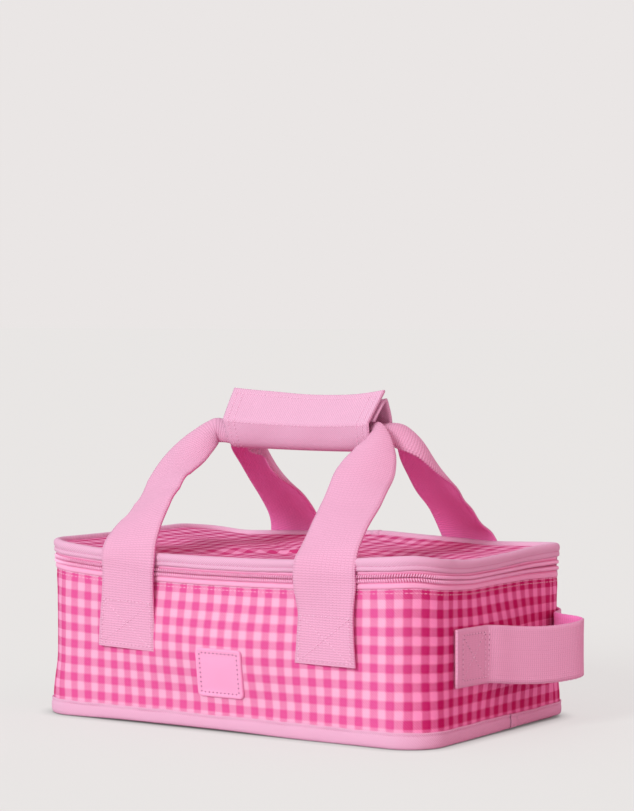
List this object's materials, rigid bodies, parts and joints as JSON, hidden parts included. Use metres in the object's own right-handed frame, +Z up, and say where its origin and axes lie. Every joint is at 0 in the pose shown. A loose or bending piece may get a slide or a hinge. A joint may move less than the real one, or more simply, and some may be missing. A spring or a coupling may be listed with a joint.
{
  "type": "soft lunch bag",
  "caption": "Soft insulated box bag with a zipped hinged lid, webbing handles joined by a wrap-around grip, and a webbing loop on one end.",
  "frame": {"origin": "middle of the base, on the face that the bag stands on", "axes": "+X along the front towards the end with the loop, +Z up, the front with the patch faces -Y"},
  "size_m": [0.3047, 0.1855, 0.1935],
  "materials": {
    "gingham_cloth": "woven gingham check, twill",
    "plain_cloth": "plain woven cloth, matt",
    "twill_wrap": "diagonal twill canvas, matt",
    "webbing": "ribbed webbing",
    "zip_tape": "fine woven tape",
    "zip_teeth": "nylon coil, satin",
    "zip_metal": "enamelled",
    "foam": "closed-cell foam sheet",
    "lining": "wipe-clean lining, satin",
    "rubber": "moulded, satin",
    "closure_tape": "hook and loop"
  },
  "bodies": {
    "body": {"outer_wall": "gingham_cloth", "wall_foam": "foam", "wall_lining": "lining", "base_panel": "plain_cloth", "base_foam": "foam", "base_lining": "lining", "base_binding": "plain_cloth", "lower_zip_tape": "zip_tape", "back_hinge_band": "plain_cloth", "lower_zip_teeth": "zip_teeth", "lower_zip_teeth_left": "zip_teeth", "front_patch": "rubber", "sewn_end_front_left": "webbing", "sewn_end_front_right": "webbing", "sewn_end_back_left": "webbing", "sewn_end_back_right": "webbing", "side_loop": "webbing"},
    "lid": {"upper_zip_tape": "zip_tape", "upper_zip_tape_left": "zip_tape", "upper_zip_teeth": "zip_teeth", "upper_zip_teeth_left": "zip_teeth", "lid_panel": "gingham_cloth", "lid_foam": "foam", "lid_lining": "lining", "lid_binding": "plain_cloth"},
    "front_handle": {"front_webbing": "webbing"},
    "back_handle": {"back_webbing": "webbing", "grip_wrap": "twill_wrap", "wrap_loop_tape": "closure_tape"},
    "grip_flap": {"grip_flap": "twill_wrap", "flap_hook_tape": "closure_tape"},
    "zip_slider": {"zip_slider": "zip_metal"},
    "slider_pull": {"slider_pull": "zip_metal"}
  },
  "joints": [
    {"name": "lid_hinge", "type": "hinge", "parent": "body", "child": "lid", "pos_m": [0, 0.0875, 0.0925], "axis": [-1, 0, 0], "range_deg": [0, 100], "deforming": ["back_hinge_band", "upper_zip_tape_left", "upper_zip_teeth_left"]},
    {"name": "front_handle_fold", "type": "hinge", "parent": "body", "child": "front_handle", "pos_m": [0, -0.0893, 0.0727], "axis": [1, 0, 0], "range_deg": [0, 150], "deforming": ["front_webbing"]},
    {"name": "back_handle_fold", "type": "hinge", "parent": "body", "child": "back_handle", "pos_m": [0, 0.0893, 0.0729], "axis": [-1, 0, 0], "range_deg": [0, 150], "deforming": ["back_webbing"]},
    {"name": "grip_flap_open", "type": "hinge", "parent": "back_handle", "child": "grip_flap", "pos_m": [0, -0.003, 0.158], "axis": [1, 0, 0], "range_deg": [0, 150]},
    {"name": "zip_slider_slide", "type": "slide", "parent": "body", "child": "zip_slider", "axis": [0, -1, 0], "range_m": [0, 0.09], "deforming": ["lower_zip_teeth_left", "upper_zip_teeth_left"]},
    {"name": "slider_pull_swing", "type": "hinge", "parent": "zip_slider", "child": "slider_pull", "pos_m": [-0.1379, 0.047, 0.0925], "axis": [1, 0, 0], "range_deg": [-30, 80]}
  ],
  "couplings": [
    {"joint": "front_handle_fold", "follows": "lid_hinge", "ratio": 1.5},
    {"joint": "back_handle_fold", "follows": "lid_hinge", "ratio": 1.5}
  ]
}
